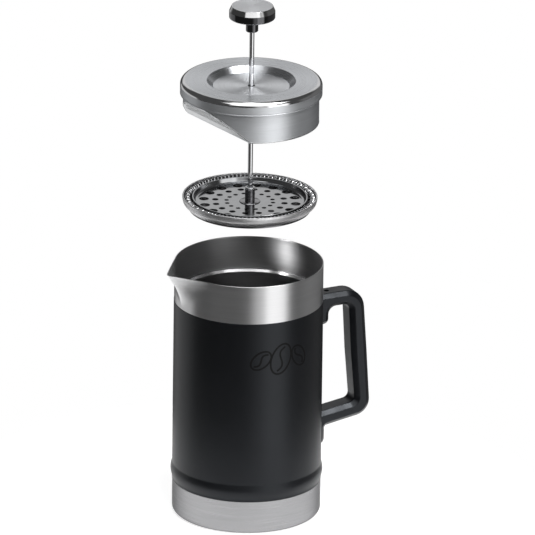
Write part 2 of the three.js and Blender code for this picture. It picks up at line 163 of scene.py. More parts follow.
# ---------------- outlines
def rounded(corners, steps=5):
    """The points of an outline through corners (x, y, radius), with each corner rounded to its radius."""
    points = []
    count = len(corners)
    for i, (x, y, radius) in enumerate(corners):
        here = Vector((x, y))
        if radius <= 0:
            points.append(here)
            continue
        back = (Vector(corners[i - 1][:2]) - here).normalized()
        ahead = (Vector(corners[(i + 1) % count][:2]) - here).normalized()
        half = back.angle(ahead) / 2
        centre = here + (back + ahead).normalized() * (radius / math.sin(half))
        start = here + back * (radius / math.tan(half)) - centre
        end = here + ahead * (radius / math.tan(half)) - centre
        turn = math.atan2(start.x * end.y - start.y * end.x, start.dot(end))
        number = max(2, round(steps * abs(turn) / (math.pi / 2)) + 1)
        for k in range(number + 1):
            points.append(centre + Matrix.Rotation(turn * k / number, 2) @ start)
    return [(p.x, p.y) for p in points]


def ring_points(radius, count, centre=(0.0, 0.0), phase=0.0):
    """A circle as a list of points."""
    angles = [phase + math.tau * k / count for k in range(count)]
    return [(centre[0] + radius * math.cos(a), centre[1] + radius * math.sin(a)) for a in angles]


def polar(distance, angle):
    """The point (x, y) at a distance from the axis and an angle round it."""
    return distance * math.cos(angle), distance * math.sin(angle)


def stood_up(outline, angle):
    """An outline of (distance from the axis, height), as (x, y, z) at an angle round it."""
    return [(r * math.cos(angle), r * math.sin(angle), z) for r, z in outline]


# ---------------- meshes
def finish_mesh(obj, sharp=32):
    """Clean, outward-facing, smoothly shaded faces, with edges over sharp degrees kept crisp."""
    work = bmesh.new()
    work.from_mesh(obj.data)
    bmesh.ops.remove_doubles(work, verts=work.verts, dist=1e-7)
    bmesh.ops.dissolve_degenerate(work, edges=work.edges, dist=1e-8)
    bmesh.ops.recalc_face_normals(work, faces=work.faces)
    work.to_mesh(obj.data)
    work.free()
    obj.data.shade_smooth()
    obj.data.set_sharp_from_angle(angle=math.radians(sharp))


def linked(name, data):
    """A new object of the scene, from its mesh, curve, light or camera."""
    obj = bpy.data.objects.new(name, data)
    bpy.context.scene.collection.objects.link(obj)
    return obj


def new_object(name, vertices, faces):
    """A mesh object from vertices in millimetres."""
    mesh = bpy.data.meshes.new(name)
    mesh.from_pydata([(x * MM, y * MM, z * MM) for x, y, z in vertices], [], faces)
    return linked(name, mesh)


def baked(obj):
    """Applies an object's modifiers, or turns a curve into a mesh object of the same name."""
    evaluated = obj.evaluated_get(bpy.context.evaluated_depsgraph_get())
    mesh = bpy.data.meshes.new_from_object(evaluated)
    if obj.type == "MESH":
        obj.modifiers.clear()
        obj.data = mesh
        return obj
    name = obj.name
    bpy.data.objects.remove(obj)
    return linked(name, mesh)


def swept(name, section_at, count, closed_section=True, sharp=32):
    """Joins the closed sections section_at(angle), lists of (x, y, z), into a ring of count steps."""
    vertices, faces = [], []
    size = len(section_at(0.0))
    for i in range(count):
        vertices += section_at(math.tau * i / count)
    for i in range(count):
        for j in range(size if closed_section else size - 1):
            a, b = i * size + j, i * size + (j + 1) % size
            c, d = ((i + 1) % count) * size + j, ((i + 1) % count) * size + (j + 1) % size
            faces.append((a, c, d, b))
    obj = new_object(name, vertices, faces)
    finish_mesh(obj, sharp)
    return obj


def turned(name, outline, height=0.0, count=ROUND):
    """A turned piece. An outline that touches the axis at both ends is open there; any other closes."""
    on_axis = outline[0][0] < 1e-6 and outline[-1][0] < 1e-6
    raised = [(r, z + height) for r, z in outline]
    return swept(name, partial(stood_up, raised), count, closed_section=not on_axis)


def add_loop(curve, points):
    """Adds a closed line of straight steps to a curve, through points in millimetres."""
    spline = curve.splines.new("POLY")
    spline.points.add(len(points) - 1)
    for point, place in zip(spline.points, points):
        point.co = (*(v * MM for v in place), 1)
    spline.use_cyclic_u = True


def flat_piece(name, outlines, bottom, top, bevel=0.0):
    """A flat plate between two heights, cut to outlines: its edge, and then its holes."""
    curve = bpy.data.curves.new(name, "CURVE")
    curve.dimensions = "2D"
    curve.fill_mode = "BOTH"
    curve.extrude = (top - bottom) / 2 * MM
    for outline in outlines:
        add_loop(curve, [(x, y, 0) for x, y in outline])
    obj = baked(linked(name, curve))
    obj.data.transform(Matrix.Translation((0, 0, (bottom + top) / 2 * MM)))
    finish_mesh(obj)
    return soften(obj, bevel, segments=2) if bevel else obj


def wire_loop(name, points, radius, sides=8):
    """A round wire along a closed line of points, in millimetres."""
    curve = bpy.data.curves.new(name, "CURVE")
    curve.dimensions = "3D"
    curve.bevel_depth = radius * MM
    curve.bevel_resolution = sides // 4 - 1
    add_loop(curve, points)
    obj = baked(linked(name, curve))
    finish_mesh(obj, sharp=60)
    return obj


def cylinder(radius, bottom, top, centre=(0.0, 0.0), count=FINE_ROUND):
    """A plain cylinder to cut with."""
    ring = ring_points(radius, count, centre)
    vertices = [(x, y, z) for z in (bottom, top) for x, y in ring]
    faces = [tuple(reversed(range(count))), tuple(range(count, 2 * count))]
    faces += [(k, (k + 1) % count, count + (k + 1) % count, count + k) for k in range(count)]
    return new_object("cutter", vertices, faces)


def carved(obj, *cutters):
    """Cuts other solids, which are used up, out of obj."""
    for tool in cutters:
        cut = obj.modifiers.new("cut", "BOOLEAN")
        cut.operation = "DIFFERENCE"
        cut.solver = "EXACT"
        cut.object = tool
    baked(obj)
    for tool in cutters:
        bpy.data.objects.remove(tool)
    finish_mesh(obj)
    return obj


def soften(obj, width, segments=3):
    """Rounds every edge sharper than 25 degrees, by width in millimetres."""
    bevel = obj.modifiers.new("soften", "BEVEL")
    bevel.width = width * MM
    bevel.segments = segments
    bevel.limit_method = "ANGLE"
    bevel.angle_limit = math.radians(25)
    baked(obj)
    finish_mesh(obj, sharp=50)
    return obj


# the body and the slot of pieces that have them in common
JUG_STEEL = ("jug", "brushed_steel")
VESSEL = ("jug", "inner_steel")
LID = ("lid", "lid_steel")
KNOB = ("plunger", "dark_chrome")
FITTING = ("plunger", "polished_steel")
SCREEN = ("plunger", "mesh_steel")


def placed(obj, material, body, slot, *nodes):
    """Gives a piece its material and its body, and hides the CAD nodes that it stands for. slot is not used.
    """
    obj.data.materials.clear()
    obj.data.materials.append(material)
    even = obj.modifiers.new("even_shading", "WEIGHTED_NORMAL")
    even.keep_sharp = True
    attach(obj, body)
    if nodes:
        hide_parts(*nodes)


# ---------------- materials
class Nodes:
    """Short ways to add nodes to a material's or a world's tree."""

    def __init__(self, tree):
        self.tree = tree

    def link(self, source, target):
        self.tree.links.new(source, target)

    def feed(self, target, value):
        """Gives an input its value, or links it to another node's output."""
        if isinstance(value, bpy.types.NodeSocket):
            self.link(value, target)
        else:
            target.default_value = value

    def node(self, kind, **values):
        """Adds a node. A value is an attribute, and one that starts with in_ is the input of that name."""
        made = self.tree.nodes.new(kind)
        for key, value in values.items():
            if key.startswith("in_"):
                self.feed(made.inputs[int(key[3:]) if key[3:].isdigit() else key[3:]], value)
            else:
                setattr(made, key, value)
        return made

    def math(self, operation, *inputs):
        made = self.node("ShaderNodeMath", operation=operation)
        for socket, value in zip(made.inputs, inputs):
            self.feed(socket, value)
        return made.outputs[0]

    def spread(self, value, low, high, start=0.3, end=0.7, interpolation="LINEAR"):
        """Maps value from start..end to low..high."""
        made = self.node("ShaderNodeMapRange", interpolation_type=interpolation, in_Value=value)
        for key, number in zip(("From Min", "From Max", "To Min", "To Max"), (start, end, low, high)):
            made.inputs[key].default_value = number
        return made.outputs["Result"]


class Shader(Nodes):
    """A new material with one Principled shader."""

    def __init__(self, name, color, roughness, metallic=0.0, **sockets):
        self.material = bpy.data.materials.new(name)
        self.material.use_nodes = True
        super().__init__(self.material.node_tree)
        self.bsdf = self.tree.nodes["Principled BSDF"]
        self.set(Base_Color=(*color, 1), Roughness=roughness, Metallic=metallic, **sockets)

    def set(self, **sockets):
        for name, value in sockets.items():
            self.bsdf.inputs[name.replace("_", " ")].default_value = value

    def place(self):
        """The place in the piece, in metres."""
        return self.node("ShaderNodeTexCoord").outputs["Object"]

    def from_axis(self, x, y):
        """The distance from the Z axis."""
        squares = [self.math("MULTIPLY", v, v) for v in (x, y)]
        return self.math("SQRT", self.math("ADD", *squares))

    def noise(self, scale, detail=3.0, roughness=0.5, vector=None):
        made = self.node("ShaderNodeTexNoise", in_Scale=scale, in_Detail=detail, in_Roughness=roughness)
        self.link(self.place() if vector is None else vector, made.inputs["Vector"])
        return made.outputs["Fac"]

    def vary_roughness(self, value, low, high):
        """Roughness between low and high."""
        self.link(self.spread(value, low, high), self.bsdf.inputs["Roughness"])

    def shade(self, value, dark, light, start=0.3, end=0.7):
        """A colour between dark and light, into the base colour."""
        made = self.node("ShaderNodeMix", data_type="RGBA", in_Factor=self.spread(value, 0, 1, start, end))
        for socket, color in ((6, dark), (7, light)):
            made.inputs[socket].default_value = (*color, 1)
        self.link(made.outputs[2], self.bsdf.inputs["Base Color"])

    def bump(self, value, height, strength=1.0):
        """Raises the surface by value times height, in millimetres."""
        made = self.node("ShaderNodeBump", in_Strength=strength, in_Distance=height * MM)
        self.link(value, made.inputs["Height"])
        self.link(made.outputs["Normal"], self.bsdf.inputs["Normal"])

    def turning_lines(self, pitch, length):
        """Noise drawn out into fine lines round the Z axis, pitch apart and about length long, in mm."""
        x, y, z = self.node("ShaderNodeSeparateXYZ", in_Vector=self.place()).outputs
        across = self.math("MULTIPLY", self.math("ADD", self.from_axis(x, y), z), 1 / (pitch * MM))
        along = 1 / (length * MM)
        sideways = [self.math("MULTIPLY", v, along) for v in (x, y)]
        joined = self.node("ShaderNodeCombineXYZ", in_0=sideways[0], in_1=sideways[1], in_2=across)
        return self.noise(1.0, detail=4.0, roughness=0.65, vector=joined.outputs[0])

    def brushed_round(self, amount):
        """Stretches highlights across scratches that run round the Z axis."""
        around = self.node("ShaderNodeVectorMath", operation="CROSS_PRODUCT", in_0=(0, 0, 1),
                           in_1=self.place())
        to_world = self.node("ShaderNodeVectorTransform", vector_type="VECTOR", convert_from="OBJECT",
                             convert_to="WORLD", in_0=around.outputs[0])
        unit = self.node("ShaderNodeVectorMath", operation="NORMALIZE", in_0=to_world.outputs[0])
        self.link(unit.outputs[0], self.bsdf.inputs["Tangent"])
        self.set(Anisotropic=amount, Anisotropic_Rotation=0.25)


def scaled(color, share):
    """A colour made darker or brighter."""
    return tuple(min(c * share, 1.0) for c in color)


def spun_steel(name, color, roughness, stretch, contrast=0.12, grazing=1.0):
    """Steel brushed round its axis: fine and broad scratch lines in its colour, roughness and relief.

    grazing is how bright it is where it is seen from the side, as a share of its colour.
    """
    steel = Shader(name, color, roughness, metallic=1.0, Specular_Tint=(grazing, grazing, grazing, 1.0))
    fine = steel.turning_lines(pitch=0.35, length=26)
    broad = steel.turning_lines(pitch=2.4, length=60)
    both = steel.math("ADD", steel.math("MULTIPLY", fine, 0.6), steel.math("MULTIPLY", broad, 0.4))
    steel.shade(both, scaled(color, 1 - contrast), scaled(color, 1 + contrast))
    steel.vary_roughness(both, roughness * 0.92, roughness * 1.1)
    steel.bump(fine, height=0.004, strength=0.25)
    steel.brushed_round(stretch)
    return steel.material


def polished_steel(name, color, roughness):
    """Mirror-polished steel, with faint waves and hairline wear."""
    steel = Shader(name, color, roughness, metallic=1.0)
    waves = steel.noise(160, detail=2)
    hairlines = steel.turning_lines(pitch=0.5, length=8)
    steel.vary_roughness(hairlines, roughness * 0.6, roughness * 1.8)
    steel.shade(waves, scaled(color, 0.93), color)
    steel.bump(waves, height=0.02, strength=0.35)
    return steel.material


COOL = (0.88, 0.93, 1.0, 1.0)  # the faint blue of the black pieces' sheen


def powder_coat():
    """The black coat of the body, with a fine grain and a faint cloudiness."""
    paint = Shader("powder_coat", (0.0026, 0.0028, 0.0035), 0.36, Specular_IOR_Level=0.34, Specular_Tint=COOL)
    grain = paint.noise(2600, detail=3, roughness=0.6)
    cloud = paint.noise(45, detail=4)
    paint.shade(cloud, (0.0022, 0.0024, 0.0031), (0.0032, 0.0034, 0.0043))
    paint.vary_roughness(grain, 0.32, 0.43)
    paint.bump(grain, height=0.012, strength=0.35)
    return paint.material


def etched_mark():
    mark = Shader("etched_mark", (0.0035, 0.0035, 0.0038), 0.5, Specular_IOR_Level=0.12)
    grain = mark.noise(1800, detail=2)
    mark.vary_roughness(grain, 0.45, 0.6)
    mark.bump(grain, height=0.006, strength=0.3)
    return mark.material


def moulded_plastic(name, color, roughness):
    """Plastic with the small dimples of a textured mould."""
    plastic = Shader(name, color, roughness, Specular_IOR_Level=0.31, Specular_Tint=COOL)
    grain = plastic.node("ShaderNodeTexVoronoi", in_Scale=1500.0, in_Vector=plastic.place())
    cloud = plastic.noise(90, detail=5)
    plastic.shade(cloud, scaled(color, 0.8), scaled(color, 1.25))
    plastic.vary_roughness(cloud, roughness * 0.85, roughness * 1.15)
    plastic.bump(grain.outputs["Distance"], height=0.02, strength=0.3)
    return plastic.material


def woven_wire(name, color):
    """A fine plain weave that wraps round the filter: wires round it, and wires up and down or outwards."""
    wires, pitch = 520, 0.32
    weave = Shader(name, color, 0.34, metallic=1.0)
    x, y, z = weave.node("ShaderNodeSeparateXYZ", in_Vector=weave.place()).outputs
    outwards = weave.math("ADD", weave.from_axis(x, y), z)
    spin = weave.math("MULTIPLY", weave.math("ARCTAN2", y, x), wires)
    climb = weave.math("MULTIPLY", outwards, math.pi / (pitch * MM))
    warp, weft = (weave.math("ABSOLUTE", weave.math("SINE", phase)) for phase in (spin, climb))
    cover = weave.math("MAXIMUM", warp, weft)
    # the weave is real; its openings between the wires are painted dark, as painted shade seen through the
    # weave
    weave.shade(cover, scaled(color, 0.12), color, start=0.55, end=0.85)
    weave.bump(cover, height=0.08, strength=0.6)
    return weave.material


BRUSHED = spun_steel("brushed_steel", (0.6, 0.6, 0.605), 0.3, 0.4, contrast=0.07)
# a darker copy of the collar's brushed steel: painted shade on the collar's inner skin
COLLAR_INSIDE_PAINTED_SHADE = spun_steel("collar_inside_steel_painted_shade", (0.42, 0.42, 0.425), 0.46, 0.65)
INNER = spun_steel("inner_steel", (0.42, 0.42, 0.425), 0.3, 0.7)
# a darker copy of the jug's brushed steel: painted shade on the base band and on the cover under it
BASE_STEEL_PAINTED_SHADE = spun_steel("brushed_base_steel_painted_shade", (0.33, 0.33, 0.337), 0.26, 0.3, grazing=0.35)
DISH_STEEL = spun_steel("brushed_dish_steel", (0.7, 0.715, 0.74), 0.34, 0.85, contrast=0.18)
LIP_STEEL = polished_steel("polished_lip", (0.75, 0.75, 0.76), 0.17)
HEM_STEEL = polished_steel("rolled_hem", (0.5, 0.51, 0.52), 0.2)
CHAMFER_STEEL = polished_steel("knob_chamfer_polish", (0.45, 0.45, 0.455), 0.08)
LID_STEEL = spun_steel("spun_lid_steel", (0.7, 0.718, 0.745), 0.28, 0.6, grazing=0.85)
LID_WALL = spun_steel("brushed_lid_wall", (0.62, 0.635, 0.655), 0.5, 0.6, grazing=0.3)
STRAINER_STEEL = spun_steel("strainer_steel", (0.7, 0.71, 0.72), 0.5, 0.2)
KNOB_FACE = spun_steel("satin_knob_face", (0.72, 0.73, 0.75), 0.42, 0.3, contrast=0.03)
POLISHED = polished_steel("polished_steel", (0.7, 0.7, 0.71), 0.07)
DARK_CHROME = polished_steel("dark_screw_steel", (0.2, 0.2, 0.21), 0.2)
KNOB_DARK = polished_steel("knob_polish", (0.1, 0.1, 0.105), 0.08)
PLATE_STEEL = polished_steel("filter_plate_polish", (0.4, 0.405, 0.415), 0.1)
SPRING = polished_steel("spring_wire", (0.8, 0.8, 0.81), 0.16)
PAINT = powder_coat()
MARK = etched_mark()
HANDLE_PLASTIC = moulded_plastic("handle_plastic", (0.0036, 0.0039, 0.0048), 0.34)
BUSH_PLASTIC = moulded_plastic("bush_plastic", (0.006, 0.006, 0.006), 0.4)
FOOT_STEEL = polished_steel("foot_plate_polish", (0.14, 0.14, 0.145), 0.15)
MESH = woven_wire("woven_wire", (0.62, 0.62, 0.63))
# a lighter copy of the woven wire: painted highlight along the screen's folded edge
MESH_EDGE_PAINTED_HIGHLIGHT = woven_wire("woven_wire_edge_painted_highlight", (0.9, 0.9, 0.91))
# a darker copy of the woven wire: painted shade on the screen's inner skin
MESH_INSIDE_PAINTED_SHADE = woven_wire("woven_wire_inside_painted_shade", (0.2, 0.2, 0.205))
# a darkened copy of the polished steel: painted shade on the filter's hub and on the washer at its foot
HUB_STEEL_PAINTED_SHADE = polished_steel("hub_polish_painted_shade", (0.3, 0.3, 0.31), 0.12)


# ---------------- jug
def painted_shell():
    """The black outer wall, with the bead that swells out of it above the base."""
    radius = SHELL_RADIUS
    bottom, top = BASE_TOP + 0.15, COLLAR[0] - 0.12
    low, high = BEAD
    plain = 12  # the plain stretch of wall keeps this far from the bead and from the top
    steps = 18
    outline = [(radius - SHEET, bottom), (radius - 0.35, bottom), (radius, bottom + 0.3)]
    for i in range(steps + 1):
        t = i / steps
        outline.append((radius + BEAD_OUT * math.sin(math.pi * t) ** 1.3, low + (high - low) * t))
    outline += [(radius, high + plain), (radius, top - plain)]
    outline += [(radius, top - 0.3), (radius - 0.3, top), (radius - SHEET, top)]
    placed(turned("painted_shell", outline), PAINT, "jug", "black_paint", "outer_shell")


def spout_radius(angle, reach):
    """The collar's radius where the spout reaches out this far: two flat flanks, tangent to the wall."""
    half_angle = math.acos(BODY_RADIUS / (BODY_RADIUS + reach))
    from_tip = math.hypot(math.remainder(angle - math.pi, math.tau), SPOUT_BLUNT) - SPOUT_BLUNT
    return BODY_RADIUS / math.cos(max(half_angle - from_tip, 0))


def collar_sides(angle):
    """The outer and the inner line of the collar at an angle, as (radius, height) from the bottom up."""
    low, high = COLLAR[0] - 0.1, COLLAR[1]
    levels = 22
    edge = COLLAR_WALL * 0.3
    pull = (spout_radius(angle, SPOUT_REACH) - BODY_RADIUS) / SPOUT_REACH
    top = high - SPOUT_DIP * pull
    outer = []
    for i in range(levels + 1):
        t = i / levels
        outer.append((spout_radius(angle, SPOUT_REACH * t**SPOUT_CURVE), low + (top - low) * t))
    inner = [(radius - COLLAR_WALL, z) for radius, z in outer]
    outer[-1] = (outer[-1][0], top - edge)
    inner[-1] = (inner[-1][0], top - edge)
    outer.append((outer[-1][0] - edge, top))
    inner.append((inner[-1][0] + edge, top))
    return outer, inner


def collar_section(side, angle):
    """One skin of the collar. Its steps crowd together at the spout, where the sheet bends most."""
    angle += 0.42 * math.sin(angle)
    outer, inner = collar_sides(angle)
    middle = [((a[0] + b[0]) / 2, a[1]) for a, b in zip(outer, inner)]
    return stood_up((outer if side == "outer" else inner) + middle[::-1], angle)


def steel_collar():
    """The collar with its spout, as an outer and an inner skin that meet in the middle of the sheet."""
    # the inner skin gets the darker steel: painted shade inside the collar
    for side, material, nodes in (("outer", BRUSHED, ["spout_collar"]), ("inner", COLLAR_INSIDE_PAINTED_SHADE, [])):
        collar = swept("spout_collar_" + side, partial(collar_section, side), ROUND + 64, sharp=50)
        placed(collar, material, *JUG_STEEL, *nodes)


def channel_pull(angle):
    """How far the pouring channel takes the vessel's wall outwards, at an angle."""
    from_tip = min(abs(math.remainder(angle - math.pi, math.tau)) / CHANNEL_HALF_ANGLE, 1)
    return CHANNEL_DEEP * math.cos(from_tip * math.pi / 2) ** 2


def vessel_bottom(radius, floor, corner):
    """The vessel's bottom and the corner up to its wall, from the axis outwards."""
    wall_end = 100
    return rounded([(0, floor, 0), (radius, floor, corner), (radius, wall_end, 0)], steps=12)[:-1]


def vessel_section(bottom, inside_bottom, angle):
    """The vessel from the axis out, up its wall, over the ledge and back inside."""
    outside = LINER_RADIUS + SHEET
    edge = BODY_RADIUS - COLLAR_WALL - 0.05
    low, high = LEDGE - CHANNEL_HEIGHT, LEDGE - 3.0
    levels = 8
    pull = channel_pull(angle)
    mouth = LINER_RADIUS + pull
    wall, inner = [], []
    for i in range(levels + 1):
        t = i / levels
        bulge = pull * math.sin(t * math.pi / 2) ** 1.5
        z = low + (high - low) * t
        wall.append((outside + bulge, z))
        inner.append((LINER_RADIUS + bulge, z))
    shoulder = [(outside + pull + 0.1, LEDGE - SHEET), (edge, LEDGE - SHEET), (edge, LEDGE),
                (mouth + MOUTH_WIDE + 0.3, LEDGE), (mouth + MOUTH_WIDE, LEDGE - 0.15),
                (mouth, LEDGE - MOUTH_DEEP)]
    return stood_up(bottom + wall + shoulder + inner[::-1] + inside_bottom[::-1], angle)


def inner_vessel():
    bottom = vessel_bottom(LINER_RADIUS + SHEET, LINER_FLOOR - SHEET, LINER_CORNER)
    inside_bottom = vessel_bottom(LINER_RADIUS, LINER_FLOOR, LINER_CORNER - SHEET)
    section = partial(vessel_section, bottom, inside_bottom)
    vessel = swept("inner_vessel", section, ROUND, closed_section=False, sharp=40)
    placed(vessel, INNER, *VESSEL, "inner_liner")


def ledge_lip():
    """The polished cone of the vessel's mouth, a thin skin over it."""

    def section(angle):
        mouth = LINER_RADIUS + channel_pull(angle)
        top, foot = mouth + MOUTH_WIDE, LEDGE - MOUTH_DEEP
        return stood_up([(mouth - 0.05, foot), (top - 0.1, LEDGE - 0.1), (top + 0.3, LEDGE + 0.04),
                         (top + 0.3, LEDGE - 0.5), (mouth + 0.3, foot)], angle)

    lip = swept("ledge_lip", section, ROUND, sharp=40)
    placed(lip, LIP_STEEL, *VESSEL)


def base_band():
    """The steel cup under the body, with a hollow below it for the cover."""
    wall = BODY_RADIUS - SHEET
    roof = 1.8  # top of the sheet over the hollow
    outside = rounded([(BODY_RADIUS, BASE_TOP, 0), (BODY_RADIUS, 0, 4.0), (48.0, 0, 0.3),
                       (47.2, BASE_RECESS, 0.2), (0, BASE_RECESS, 0)])
    inside = rounded([(0, roof, 0), (47.9, roof, 0.6), (48.6, SHEET, 0.5), (wall, SHEET, 3.3),
                      (wall, BASE_TOP, 0)])
    loop = [(0, BASE_RECESS)] + outside[::-1][1:] + [(wall, BASE_TOP)] + inside[::-1][1:]
    # the base band gets the darkened steel: painted shade
    placed(turned("base_band", loop), BASE_STEEL_PAINTED_SHADE, *JUG_STEEL, "base_cup")


def base_cover():
    """The disc in the hollow under the base, and the getter capsule above it, out of sight."""
    cover = rounded([(0, 0, 0), (46.9, 0, 0.3), (46.9, 0.8, 0.2), (0, 0.8, 0)])
    placed(turned("base_cover", cover), BASE_STEEL_PAINTED_SHADE, *JUG_STEEL, "base_cover_disc")
    capsule = rounded([(0, 2.4, 0), (9, 2.4, 0.5), (9, 5.6, 1), (0, 5.6, 0)])
    placed(turned("getter_capsule", capsule, count=FINE_ROUND), INNER, *VESSEL, "vacuum_getter")


def handle_loop():
    """The side outline of the handle, filled, chamfered along both sides and fitted to the shell."""
    outline = rounded(HANDLE_CORNERS, steps=7)
    half = HANDLE_WIDTH / 2
    work = bmesh.new()
    ring = [work.verts.new((x * MM, -half * MM, z * MM)) for x, z in outline]
    face = work.faces.new(ring)
    grown = bmesh.ops.extrude_face_region(work, geom=[face])
    far = [v for v in grown["geom"] if isinstance(v, bmesh.types.BMVert)]
    bmesh.ops.translate(work, verts=far, vec=(0, HANDLE_WIDTH * MM, 0))
    work.normal_update()
    rims = [e for e in work.edges if abs(abs(e.verts[0].co.y) - half * MM) < 1e-7
            and abs(e.verts[0].co.y - e.verts[1].co.y) < 1e-7]
    bmesh.ops.bevel(work, geom=rims, offset=HANDLE_CHAMFER * MM, segments=1, affect="EDGES",
                    clamp_overlap=False)
    mesh = bpy.data.meshes.new("handle_loop")
    work.to_mesh(mesh)
    work.free()
    loop = linked("handle_loop", mesh)
    finish_mesh(loop)
    soften(loop, 0.7)
    carved(
        loop,
        cylinder(SHELL_RADIUS + 0.05, 20, 200, count=ROUND),
        cylinder(SCREW_RECESS, UPPER_SCREW[1], 182, centre=(UPPER_SCREW[0], 0), count=32),
        cylinder(SCREW_RECESS, 55, LOWER_SCREW[1], centre=(LOWER_SCREW[0], 0), count=32),
    )
    finish_mesh(loop, sharp=40)
    placed(loop, HANDLE_PLASTIC, "jug", "handle_plastic", "handle")


def handle_screw(name, aside, height, out):
    """A screw head with a cross slot, at the bottom of its recess. It faces up (out 1) or down (out -1)."""
    head, shank = 1.8, 1.2
    under, end = -2.4, -8
    outline = rounded([(0, 0, 0), (head, 0, 0.5), (head, under, 0), (shank, under, 0), (shank, end, 0.3),
                       (0, end, 0)])
    screw = turned(name + "_screw", [(r, z * out) for r, z in outline], height, count=32)
    screw.data.transform(Matrix.Translation((aside * MM, 0, 0)))
    slots = []
    for x, y in ((1.1, 0.2), (0.2, 1.1)):
        slot = flat_piece("slot", [[(-x, -y), (x, -y), (x, y), (-x, y)]], -0.5, 0.5)
        slot.data.transform(Matrix.Translation((aside * MM, 0, height * MM)))
        slots.append(slot)
    carved(screw, *slots)
    placed(screw, DARK_CHROME, "jug", "dark_chrome", name + "_handle_screw")


def handle_bracket(name, tab, bottom, top):
    """A bracket inside the handle: a tab that holds the screw, and a curved plate on the shell."""
    plate = flat_piece(name + "_bracket_tab", [BRACKET_TAB], tab - 1.2, tab + 1.2, bevel=0.2)
    placed(plate, INNER, *VESSEL, name + "_handle_bracket")
    near, far = 60.5, 62.6
    spread = 0.23  # the angle that the plate covers
    steps = 8
    bend = [(near, k) for k in range(steps + 1)] + [(far, k) for k in range(steps, -1, -1)]
    outline = [polar(radius, (k / steps - 0.5) * spread) for radius, k in bend]
    back = flat_piece(name + "_bracket_plate", [outline], bottom, top, bevel=0.2)
    placed(back, INNER, *VESSEL)


def handle_fixings():
    handle_screw("upper", *UPPER_SCREW, 1)
    handle_screw("lower", *LOWER_SCREW, -1)
    for bracket in BRACKETS:
        handle_bracket(*bracket)


def ribbon(path, half_width, closed):
    """The four edge lines of a thin flat stroke along path, in (along, up, out) coordinates of the shell."""
    count = len(path)
    sections = []
    for i, (u, v) in enumerate(path):
        before = Vector(path[i - 1] if closed or i else path[i])
        after = Vector(path[(i + 1) % count] if closed or i < count - 1 else path[i])
        side = (after - before).normalized().orthogonal() * half_width
        sections.append([(u + side.x * a, v + side.y * a, h)
                         for a, h in ((-1, -0.05), (-1, 0.04), (1, 0.04), (1, -0.05))])
    return sections


def bean_lines(tall, wide, lean):
    """The outline of a coffee bean and the crease down its middle, each with whether it is closed."""
    spin = Matrix.Rotation(lean, 2)
    outline = [spin @ Vector((wide * math.cos(t), tall * math.sin(t)))
               for t in (math.tau * k / 72 for k in range(72))]
    crease = [spin @ Vector((wide * 0.32 * math.sin(t * math.tau), tall * 0.82 * (2 * t - 1)))
              for t in (k / 30 for k in range(31))]
    return (outline, True), (crease, False)


def shell_mark():
    """A small generic mark, three coffee beans, printed on the side of the jug in a duller black."""
    stroke = 0.75  # half the width of a line
    vertices, faces = [], []
    for across, tall, wide, lean in BEANS:
        for path, closed in bean_lines(tall, wide, lean):
            sections = ribbon([(p.x + across, p.y) for p in path], stroke, closed)
            start, count = len(vertices), len(sections)
            for section in sections:
                for u, v, out in section:
                    angle = -math.pi / 2 + u / SHELL_RADIUS
                    vertices += stood_up([(SHELL_RADIUS + out, MARK_HEIGHT + v)], angle)
            for i in range(count if closed else count - 1):
                a, b = start + 4 * i, start + 4 * ((i + 1) % count)
                faces += [(a + k, a + (k + 1) % 4, b + (k + 1) % 4, b + k) for k in range(4)]
            if not closed:
                last = start + 4 * (count - 1)
                faces += [tuple(end + k for k in range(4)) for end in (start, last)]
    mark = new_object("shell_mark", vertices, faces)
    finish_mesh(mark, sharp=30)
    placed(mark, MARK, "jug", "black_paint")


# ---------------- lid
def lid_top():
    edge = LID_RADIUS - LID_BEAD
    floor, under = -DISH_DEPTH, -DISH_DEPTH - SHEET
    hole = ROD_HOLE + 0.1
    brim = rounded([(edge, 0, 0), (DISH_RADIUS, -0.3, 1.2), (DISH_FLOOR_RADIUS, floor, 0),
                    (DISH_FLOOR_RADIUS, under, 0), (DISH_RADIUS + 0.5, -0.3 - SHEET, 1.0), (edge, -SHEET, 0)])
    placed(turned("lid_top", brim, LID_TOP), LID_STEEL, *LID, "lid_cap")
    dish = rounded([(DISH_FLOOR_RADIUS, floor, 0), (hole, floor, 0.2), (hole, under, 0),
                    (DISH_FLOOR_RADIUS, under, 0)])
    placed(turned("lid_dish", dish, LID_TOP), DISH_STEEL, *LID)


def lid_edge():
    """The polished quarter round between the cap's top and its band."""
    middle = LID_RADIUS - LID_BEAD
    arc = []
    for radius, order in ((LID_BEAD, range(0, 91, 6)), (LID_BEAD - SHEET, range(90, -1, -6))):
        for angle in map(math.radians, order):
            arc.append((middle + radius * math.cos(angle), -LID_BEAD + radius * math.sin(angle)))
    placed(turned("lid_polished_edge", arc, LID_TOP), POLISHED, *LID)


def lid_band():
    """The upright band of the cap, with a fine groove near its lower edge."""
    outer, inner = LID_RADIUS, LID_RADIUS - SHEET
    groove = outer - 0.25
    low, seam = -LID_BAND, SKIRT_RADIUS + 0.1
    band = rounded([(outer, -LID_BEAD, 0), (outer, low + 1.5, 0.1), (groove, low + 1.25, 0.1),
                    (groove, low + 1.05, 0.1), (outer, low + 0.8, 0.15), (outer, low, 0.35), (seam, low, 0),
                    (seam, low + SHEET, 0), (inner, low + SHEET, 0.2), (inner, -LID_BEAD, 0)])
    placed(turned("lid_band", band, LID_TOP), LID_WALL, *LID)


def skirt_low(x):
    """The height of the skirt's lower edge, below the top of the lid, at x: flat, then up the slant."""
    slant = SLANT_RISE - SKIRT_BOTTOM - (x + SKIRT_RADIUS) * math.tan(SLANT)
    blend = 0.6  # how softly the flat edge turns into the slant
    high, low = max(slant, -SKIRT_BOTTOM), min(slant, -SKIRT_BOTTOM)
    return high + blend * math.log1p(math.exp((low - high) / blend))


